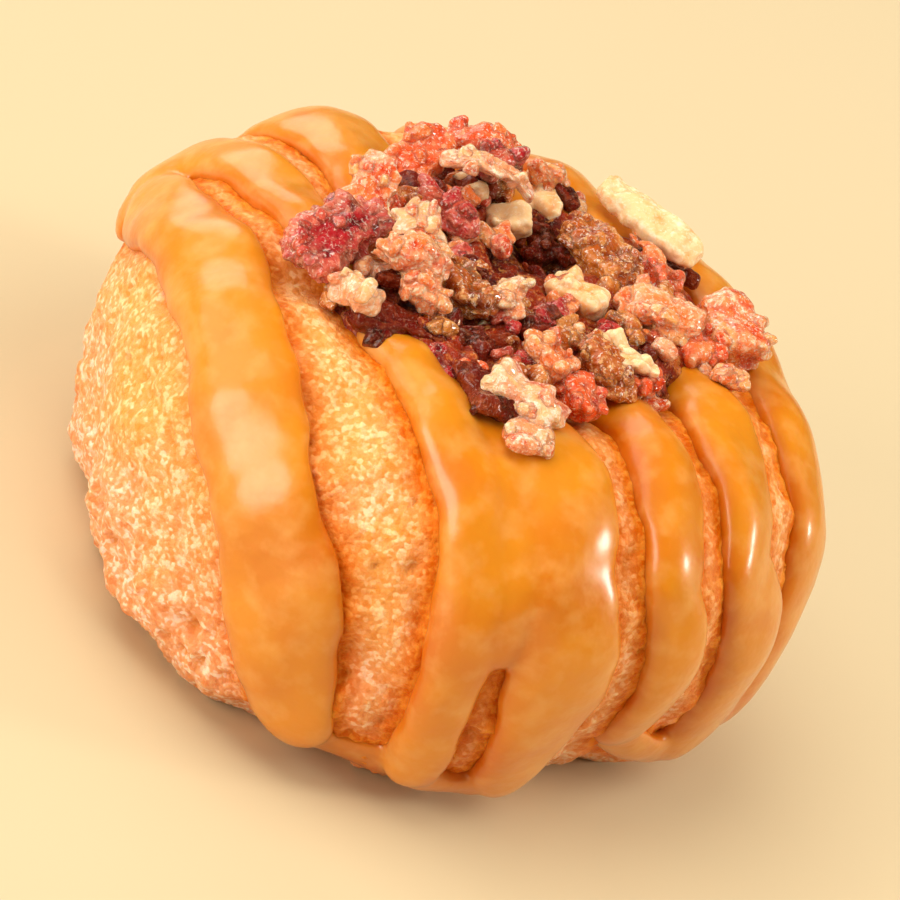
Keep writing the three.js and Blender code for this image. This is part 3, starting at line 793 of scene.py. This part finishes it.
def bacon_bit(at, size, lie, seed, facets=9, sharpness=8.0, swelling=0.42, granules=0.3,
              granule_size=0.65, fibres=0.1, fray=0.0, arch=0.0, twist=0.0, bites=6,
              spacing=BIT_SPACING):
    """One bit: a block cut by a few random planes, bitten, swollen, granulated and frayed."""
    random = np.random.default_rng(seed)
    size = np.array(size, float)
    cube, faces = box_grid([max(5, round(side / spacing)) for side in size])
    normals = random.normal(size=(facets, 3))
    normals /= np.linalg.norm(normals, axis=1, keepdims=True)
    offsets = np.abs(normals).sum(axis=1) * random.uniform(*CUTS_AT, facets)
    normals = np.concatenate([np.eye(3), -np.eye(3), normals])
    offsets = np.concatenate([random.uniform(*SIDES_AT, 6), offsets])
    pressed = np.maximum(cube @ normals.T, 0) / offsets
    reach = (pressed ** sharpness).sum(axis=1) ** (-1 / sharpness)
    outward = (pressed ** (sharpness - 1) / offsets) @ normals / size
    outward /= np.linalg.norm(outward, axis=1, keepdims=True)
    points = cube * reach[:, None] * size / 2
    ranked = np.sort(pressed, axis=1)
    crease = 1 - smooth_step((ranked[:, -1] - ranked[:, -2]) / ranked[:, -1], 0.02, 0.16)
    shifted = points + random.uniform(-FIELD_REACH, FIELD_REACH, 3)
    coarse = grains(shifted, granule_size, seed) - GRAIN_MEAN
    small = grains(shifted, granule_size * 0.5, seed + 6) - GRAIN_MEAN
    fibre = swell(shifted * [0.25, 1.0, 1.0], 0.5, seed + 1)
    thin = min(1.0, size.min() / FULL_RELIEF_SIZE)
    lift = thin * (swelling * swell(shifted, 1.5, seed + 2) + granules * (coarse + 0.6 * small)
                   + fibres * fibre + 0.04 * swell(shifted, 0.28, seed + 3))
    for _ in range(bites):
        middle = points[random.integers(len(points))]
        mouth = random.uniform(*BITE_SIZES) * thin
        lift -= BITE_DEPTH * mouth * np.exp(-((points - middle) ** 2).sum(axis=1) / mouth ** 2)
    points = points + outward * lift[:, None]
    rim = smooth_step(np.maximum(np.abs(cube[:, 0]), np.abs(cube[:, 1])), 0.7, 1.0)
    if fray:
        ragged = np.maximum(swell(shifted, 0.75, seed + 4) + 0.5 * swell(shifted, 0.35, seed + 5), -0.4)
        points[:, :2] += cube[:, :2] * (fray * rim * ragged)[:, None]
    if twist:
        angle = math.radians(twist) * points[:, 0] / size[0]
        y, z = points[:, 1].copy(), points[:, 2].copy()
        points[:, 1] = y * np.cos(angle) - z * np.sin(angle)
        points[:, 2] = y * np.sin(angle) + z * np.cos(angle)
    points[:, 2] += arch * (1 - (2 * points[:, 0] / size[0]) ** 2)
    fields = {"relief": 1.3 * coarse + 0.7 * small + 0.4 * fibre,
              "edge": np.maximum(0.75 * crease, rim * min(1, 2 * fray)),
              "bit_place": shifted, "tint": np.full(len(points), random.uniform(-1, 1))}
    return turned_bit(points, lie, (at[0], at[1], CREST + at[2])), faces, fields


# Ranges for crumbs and scraps: their length, width and height in millimetres, how they are turned,
# pitched and rolled in degrees, and how far a scrap lies from the middle of its cluster
CRUMB_SIZES = [(0.6, 1.7), (0.5, 1.2), (0.45, 0.9)]
CRUMB_LIES = [(0, 360), (-40, 40), (0, 90)]
SCRAP_SIZES = [(0.9, 2.3), (0.8, 1.6), (0.7, 1.3)]
SCRAP_LIES = [(0, 360), (-25, 25), (0, 60)]
SCRAP_SHIFTS = [(-0.9, 0.9), (-0.9, 0.9), (-0.2, 0.3)]
CLUSTER_SCRAPS = 3
SCRAPS_FROM = 2.0
SCRAPS_TO = 12.4
CRUMB_SEEDS = 50
SCRAP_SEEDS = 1000
SEEDS_PER_KIND = 200


def one_of_each(random, ranges):
    return [random.uniform(low, high) for low, high in ranges]


def with_crumbs(bit, count, seed, **form):
    """A bit and the crumbs that stick to its upper side."""
    random = np.random.default_rng(seed)
    form = {"granule_size": 0.5, "bites": 2, **form}
    points = bit[0]
    upper = points[points[:, 2] > np.median(points[:, 2])]
    crumbs = []
    for number in range(count):
        place = upper[random.integers(len(upper))] - [0, 0, CREST]
        size = one_of_each(random, CRUMB_SIZES)
        lie = one_of_each(random, CRUMB_LIES)
        crumbs.append(bacon_bit(place, size, lie, seed + number + 1, **form))
    return [bit] + crumbs


def large_bits(places, seed, crumbs, crumb_seed_step=10, crumb_form=None, **form):
    """The large bits of one kind, each with the crumbs that stick to it."""
    bits = []
    for number, place in enumerate(places):
        own = {**form, **place}
        count = own.pop("crumbs", crumbs)
        bit = bacon_bit(seed=seed + number, **own)
        crumb_seed = seed + CRUMB_SEEDS + crumb_seed_step * number
        bits += with_crumbs(bit, count, crumb_seed, **(crumb_form or {}))
    return bits


def heap_of(name, bits, sockets, tones, **look):
    """All bits of one kind as one piece, fused where they touch, in the look of their kind."""
    point_sets, face_sets, field_sets = zip(*bits)
    points = np.concatenate(point_sets)
    starts = np.cumsum([0] + [len(part) for part in point_sets[:-1]])
    faces = np.concatenate([part + start for part, start in zip(face_sets, starts)])
    piece = make_piece(name, points, faces)
    mesh = run_together(piece, BIT_VOXEL, softenings=1)
    fused = mesh_points(mesh)
    bare_bits = search_tree(points)
    source = [bare_bits.find(point)[1] for point in fused]
    for key in field_sets[0]:
        write_fields(piece, {key: np.concatenate([fields[key] for fields in field_sets])[source]})
    move_points(mesh, as_made(fused))
    mesh.materials.append(bacon_look(name, sockets, tones, **look))
    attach(piece, "root")
    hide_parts("bacon_heap")


def scraps(clusters, seed, **form):
    """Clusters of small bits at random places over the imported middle, clear of the pit."""
    random = np.random.default_rng(seed)
    form = {"spacing": SCRAP_SPACING, "bites": 3, **form}
    bits = []
    while len(bits) < CLUSTER_SCRAPS * clusters:
        around, share = random.uniform(0, 2 * math.pi), random.uniform() ** 0.6
        reach = (SCRAPS_FROM + (SCRAPS_TO - SCRAPS_FROM) * share) * float(rim_share(around))
        x, y = reach * math.cos(around), reach * math.sin(around)
        height = 0.3 + 1.2 * smooth_step(np.array(share), 1.0, 0.7) + random.uniform(-0.1, 0.6)
        if math.hypot(x - PIT["x"], y - PIT["y"]) < PIT["radius"] + 0.4:
            continue
        for _ in range(CLUSTER_SCRAPS):
            place = np.array([x, y, height]) + one_of_each(random, SCRAP_SHIFTS)
            size = one_of_each(random, SCRAP_SIZES)
            lie = one_of_each(random, SCRAP_LIES)
            scrap_seed = SCRAP_SEEDS + seed * SEEDS_PER_KIND + len(bits)
            bits.append(bacon_bit(place, size, lie, scrap_seed, **form))
    return bits


# The film of grease on most bits
GREASE = {"Coat Weight": 0.8, "Coat Roughness": 0.09}

# Crimson lean: fibrous meat with a frayed pale rim
LEAN = [
    dict(at=(-11.7, -6.6, 2.3), size=(9.6, 4.2, 2.4), lie=(67, 13, 10), fray=0.5, twist=14, fibres=0.18),
    dict(at=(-5.5, 9.1, 3.5), size=(3.7, 2.0, 1.8), lie=(65, 16, 0)),
    dict(at=(-6.6, 3.0, 2.5), size=(4.6, 2.6, 2.2), lie=(7, 6, 0), fray=0.3),
]
lean_bits = large_bits(LEAN, seed=100, crumbs=7, fibres=0.14)
lean_bits += scraps(14, seed=1, fibres=0.12)
heap_of("lean_bacon", lean_bits, {**GREASE, **light_inside(0.3, 0.3, (1.0, 0.4, 0.3))},
        {"Deep": "64040c", "Body": "bc1e24", "Second": "e06034", "Pale": "f8a884",
         "Second share": 0.5, "Pale edge": 0.4, "Pale flecks": 0.2, "Streaks": 1.0, "Frost_and_glints": 0.45})

# Dark lean: maroon scraps, moist with fat, made darker still as painted shade where they lie in the
# shadow of the heap and in its pit
DARK = [
    dict(at=(-4.7, -9.3, 0.6), size=(8.2, 3.4, 2.4), lie=(25, -3, 0), granules=0.45),
    dict(at=(0.5, -12.4, 1.1), size=(7.0, 2.6, 2.0), lie=(-58, 10, 0)),
    dict(at=(-2.9, 4.6, -0.2), size=(2.6, 1.8, 1.4), lie=(30, 20, 0)),
    dict(at=(0.6, 5.0, -0.3), size=(2.4, 1.7, 1.4), lie=(-40, -15, 0)),
    dict(at=(-0.2, 7.2, -0.1), size=(2.6, 1.6, 1.4), lie=(80, 10, 0)),
    dict(at=(-2.6, 7.8, 0.0), size=(2.2, 1.6, 1.3), lie=(10, -20, 0)),
    dict(at=(1.2, 8.0, 0.3), size=(2.2, 1.5, 1.2), lie=(-60, 10, 0)),
    dict(at=(-0.9, 9.0, 0.5), size=(2.4, 1.6, 1.3), lie=(150, 15, 0)),
]
dark_bits = large_bits(DARK, seed=600, crumbs=5, fibres=0.14)
dark_bits += scraps(22, seed=6, fibres=0.12)
heap_of("shaded_dark_lean_bacon", dark_bits,
        {"Coat Weight": 0.5, "Coat Roughness": 0.12, "Specular Tint": colour("ffb48c"),
         **light_inside(0.3, 0.3, (1.0, 0.3, 0.2))},
        {"Deep": "300201", "Body": "640a04", "Second": "90300a", "Pale": "d87c48",
         "Second share": 0.5, "Pale edge": 0.15, "Pale flecks": 0.15, "Streaks": 0.9, "Frost_and_glints": 0.1})

# Orange-red bits, glassy with fat
RED = [
    dict(at=(-9.7, 7.0, 2.5), size=(4.3, 3.2, 2.6), lie=(71, 23, 0)),
    dict(at=(-7.0, 11.3, 2.7), size=(4.5, 3.0, 2.6), lie=(12, 14, 0)),
    dict(at=(7.0, 8.6, 2.3), size=(3.2, 2.4, 2.2), lie=(-21, 10, 0)),
    dict(at=(11.3, 3.8, 1.3), size=(3.4, 2.6, 2.2), lie=(55, 7, 0)),
    dict(at=(6.2, -8.2, 1.3), size=(3.1, 2.5, 2.4), lie=(-34, 0, 0), granules=0.14),
    dict(at=(8.7, -3.1, 1.3), size=(3.0, 2.0, 1.7), lie=(54, 4, 0)),
]
red_bits = large_bits(RED, seed=200, crumbs=7)
red_bits += scraps(16, seed=2)
heap_of("glassy_red_bacon", red_bits, {**GREASE, **light_inside(0.5, 0.5, (1.0, 0.5, 0.3))},
        {"Deep": "b41a08", "Body": "ee561e", "Second": "f8944a", "Pale": "fcc290",
         "Second share": 0.6, "Pale edge": 0.35, "Pale flecks": 0.35, "Streaks": 0.4},
        roughness=(0.16, 0.36))

# Salmon bits with pale broken rims
SALMON = [
    dict(at=(-11.1, -0.7, 3.2), size=(4.9, 3.4, 1.4), lie=(97, 42, 0), fray=0.4),
    dict(at=(-2.4, 12.1, 2.3), size=(2.5, 2.0, 1.8), lie=(-10, 0, 0)),
    dict(at=(8.5, 3.5, 2.3), size=(4.5, 3.4, 2.6), lie=(9, 6, 0), fray=0.2),
    dict(at=(12.5, 6.4, 2.0), size=(5.8, 3.8, 2.8), lie=(-53, -5, 10), granules=0.16, swelling=0.35,
         bites=2),
    dict(at=(-7.1, -6.5, 3.6), size=(4.8, 2.8, 2.4), lie=(33, 0, 0), fray=0.35),
    dict(at=(-5.4, -8.1, 2.7), size=(3.3, 2.6, 2.2), lie=(22, 0, 0), fray=0.3),
    dict(at=(3.6, -7.1, 2.1), size=(3.5, 2.4, 2.2), lie=(-35, 0, 0)),
    dict(at=(13.9, 2.0, 1.5), size=(2.4, 1.9, 1.6), lie=(-4, 0, 0)),
]
salmon_bits = large_bits(SALMON, seed=300, crumbs=6)
salmon_bits += scraps(13, seed=3, fray=0.2)
heap_of("salmon_bacon", salmon_bits, {**GREASE, **light_inside(0.5, 0.5, (1.0, 0.6, 0.4))},
        {"Deep": "d8420e", "Body": "f98440", "Second": "fcb468", "Pale": "ffdcb4",
         "Second share": 0.7, "Pale edge": 0.5, "Pale flecks": 0.6, "Streaks": 0.3},
        roughness=(0.14, 0.36))

# Streaky bits: fat and lean fried together to a pale pink
STREAKY = [
    dict(at=(-5.6, 6.5, 3.5), size=(6.7, 1.9, 1.3), lie=(13, 0, 0), arch=1.1, fray=0.25),
    dict(at=(-7.9, -4.3, 5.0), size=(3.1, 1.8, 0.9), lie=(55, 23, 20), fray=0.35, bites=3),
    dict(at=(-0.9, -4.0, 2.1), size=(4.1, 2.0, 1.6), lie=(107, 64, 0), fray=0.25),
    dict(at=(3.1, -12.7, 2.0), size=(5.2, 3.6, 2.0), lie=(-20, -5, 0), fray=0.25),
    dict(at=(-8.9, -11.0, 2.2), size=(3.0, 2.0, 1.8), lie=(-35, 10, 0), fray=0.2),
    dict(at=(4.5, -15.4, 1.5), size=(3.9, 3.1, 1.6), lie=(25, 0, -10), facets=4, sharpness=4.0,
         granules=0.14, swelling=0.3, bites=3),
]
streaky_bits = large_bits(STREAKY, seed=700, crumbs=5)
streaky_bits += scraps(9, seed=7, fray=0.2)
heap_of("streaky_bacon", streaky_bits, {**GREASE, **light_inside(0.5, 0.5, (1.0, 0.6, 0.4))},
        {"Deep": "d6562c", "Body": "f8a068", "Second": "fccb8c", "Pale": "ffe6c8",
         "Second share": 0.7, "Pale edge": 0.55, "Pale flecks": 0.6, "Streaks": 0.8},
        roughness=(0.16, 0.36))

# Cream fat: smooth and waxy
FAT = [
    dict(at=(-2.9, 7.3, 0.9), size=(2.9, 2.2, 1.8), lie=(33, 22, 0), swelling=0.6, granules=0.34,
         bites=9),
    dict(at=(-1.7, 11.2, 1.3), size=(2.8, 2.2, 1.8), lie=(97, 39, 0), swelling=0.6, granules=0.34,
         bites=9),
    dict(at=(4.9, 13.1, 2.9), size=(9.2, 3.5, 2.1), lie=(-25, 2, 25), sharpness=5.0, swelling=0.45,
         granules=0.14, bites=8, crumbs=0),
    dict(at=(3.1, 2.2, 1.1), size=(4.6, 3.0, 2.6), lie=(-25, 13, 0)),
    dict(at=(8.3, -3.3, 2.5), size=(2.9, 1.8, 0.9), lie=(-4, 10, 0), fray=0.6, bites=3),
]
fat_bits = large_bits(FAT, seed=400, crumbs=3, crumb_form={"granules": 0.2}, granules=0.2)
fat_bits += scraps(5, seed=4, granules=0.2)
heap_of("bacon_fat", fat_bits, light_inside(0.5, 0.5, (1.0, 0.7, 0.5)),
        {"Deep": "eea45a", "Body": "f8cc94", "Second": "f2ac68", "Pale": "ffe9c8",
         "Second share": 0.6, "Pale edge": 0.5, "Pale flecks": 0.3, "Streaks": 0.2, "Frost_and_glints": 0.4},
        roughness=(0.22, 0.45), grain_depth=0.06)

# Sugared lumps: scraps stuck together with brown sugar grains
SUGARED = [
    dict(at=(3.2, 8.6, 1.3), size=(7.4, 3.6, 2.8), lie=(-49, 11, 15), bites=9),
    dict(at=(6.3, -4.2, 1.4), size=(5.5, 3.0, 2.6), lie=(-48, 0, 0), bites=8),
    dict(at=(-3.1, -4.4, 1.9), size=(4.8, 2.8, 2.2), lie=(-44, 0, 0), bites=7),
]
sugared_bits = large_bits(SUGARED, seed=500, crumbs=14, crumb_seed_step=20, granules=0.38,
                          granule_size=0.6)
sugared_bits += scraps(26, seed=5, granules=0.32, granule_size=0.55)
heap_of("sugared_bacon", sugared_bits, {**GREASE, **light_inside(0.3, 0.3, (1.0, 0.4, 0.2))},
        {"Deep": "742204", "Body": "bc5814", "Second": "e08c34", "Pale": "fac078",
         "Second share": 0.6, "Pale edge": 0.3, "Pale flecks": 0.6, "Streaks": 0.3},
        roughness=(0.16, 0.36))


# Table, lights and camera
# A plain cream table top under soft studio light. The camera looks down at 32 degrees and is
# rolled, so that the doughnut leans to the right in the frame as it does in the photograph.

TABLE_REACH = 1.5
table_corners = [(x * TABLE_REACH, y * TABLE_REACH, 0) for x, y in ((-1, -1), (1, -1), (1, 1), (-1, 1))]
floor_mesh = bpy.data.meshes.new("table_top")
floor_mesh.from_pydata(table_corners, [], [(0, 1, 2, 3)])
floor = bpy.data.objects.new("table_top", floor_mesh)
bpy.context.scene.collection.objects.link(floor)
floor_look, tree, surface = new_material("table_top", {"Roughness": 0.9, "Specular IOR Level": 0.1})
tone = noise(tree, millimetre_place(tree), 0.02, 2.0)
put_on(tree, surface, "Base Color", mix_colours(tree, tone, colour("d3c09b"), colour("d1be97")))
floor_mesh.materials.append(floor_look)

# How bright the studio's walls are, and how bright they are in reflections
STUDIO_STRENGTH = 0.24
STUDIO_IN_GLOSS = 0.05
world = bpy.data.worlds.new("studio")
world.use_nodes = True
tree = world.node_tree
background = tree.nodes["Background"]
background.inputs["Color"].default_value = colour("fff4e4")
in_gloss = add_node(tree, "ShaderNodeLightPath").outputs["Is Glossy Ray"]
put_on(tree, background, "Strength", spread(tree, in_gloss, 0, 1, STUDIO_STRENGTH, STUDIO_IN_GLOSS))
bpy.context.scene.world = world

# Each light: compass angle from the front towards the right, elevation, distance, size, watts
# and whether it is seen as a highlight
LIGHTS = {
    "key_front_left": (-44, 16, 0.50, 0.34, 1.7, True),
    "left_soft": (-84, 34, 0.50, 0.40, 0.6, True),
    "front_right_fill": (56, 64, 0.50, 0.34, 0.8, False),
    "right_fill": (110, 44, 0.50, 0.34, 0.6, False),
    "top_soft": (-80, 70, 0.50, 0.40, 1.5, False),
    "right_strip": (104, 22, 0.42, 0.07, 0.5, True),
    "back_left": (-138, 26, 0.50, 0.34, 0.7, True),
}
LIGHT_COLOUR = (1.0, 0.95, 0.88)
LIT_POINT = Vector((0, 0, 0.012))
for name, (compass, elevation, distance, size, watts, in_highlights) in LIGHTS.items():
    light = bpy.data.lights.new(name, "AREA")
    light.shape = "DISK"
    light.size = size
    light.energy = watts
    light.color = LIGHT_COLOUR
    lamp = bpy.data.objects.new(name, light)
    lamp.visible_glossy = in_highlights
    turn, rise = math.radians(compass), math.radians(elevation)
    way = Vector((math.sin(turn) * math.cos(rise), -math.cos(turn) * math.cos(rise), math.sin(rise)))
    lamp.location = way * distance + LIT_POINT
    lamp.rotation_euler = way.to_track_quat("Z", "Y").to_euler()
    bpy.context.scene.collection.objects.link(lamp)

VIEW_ELEVATION = math.radians(32)
VIEW_ROLL = math.radians(28)
VIEW_DISTANCE = 14 * CAKE_RADIUS
CAKE_RADIUS_PIXELS = 371.5
FRAME_PIXELS = 900
SENSOR = 36.0
# The point in the middle of the frame, a little beside the middle of the ring
AIM = (HOLE_AXIS + [0.56, -0.13, MIDDLE - 0.21]) * MILLIMETRE

camera_data = bpy.data.cameras.new("photo_camera")
camera_data.sensor_width = SENSOR
camera_data.lens = SENSOR * (CAKE_RADIUS_PIXELS / CAKE_RADIUS) * VIEW_DISTANCE / FRAME_PIXELS
camera_data.clip_start = 0.02
camera = bpy.data.objects.new("photo_camera", camera_data)
bpy.context.scene.collection.objects.link(camera)
back_way = Vector((0, -math.cos(VIEW_ELEVATION), math.sin(VIEW_ELEVATION)))
level_up = Vector((0, math.sin(VIEW_ELEVATION), math.cos(VIEW_ELEVATION)))
level_right = Vector((1, 0, 0))
right = math.cos(VIEW_ROLL) * level_right + math.sin(VIEW_ROLL) * level_up
up = -math.sin(VIEW_ROLL) * level_right + math.cos(VIEW_ROLL) * level_up
camera.matrix_world = (Matrix.Translation(Vector(AIM) + back_way * VIEW_DISTANCE * MILLIMETRE)
                       @ Matrix([right, up, back_way]).transposed().to_4x4())
bpy.context.scene.camera = camera
bpy.context.scene.view_settings.view_transform = "Standard"

bpy.context.view_layer.update()
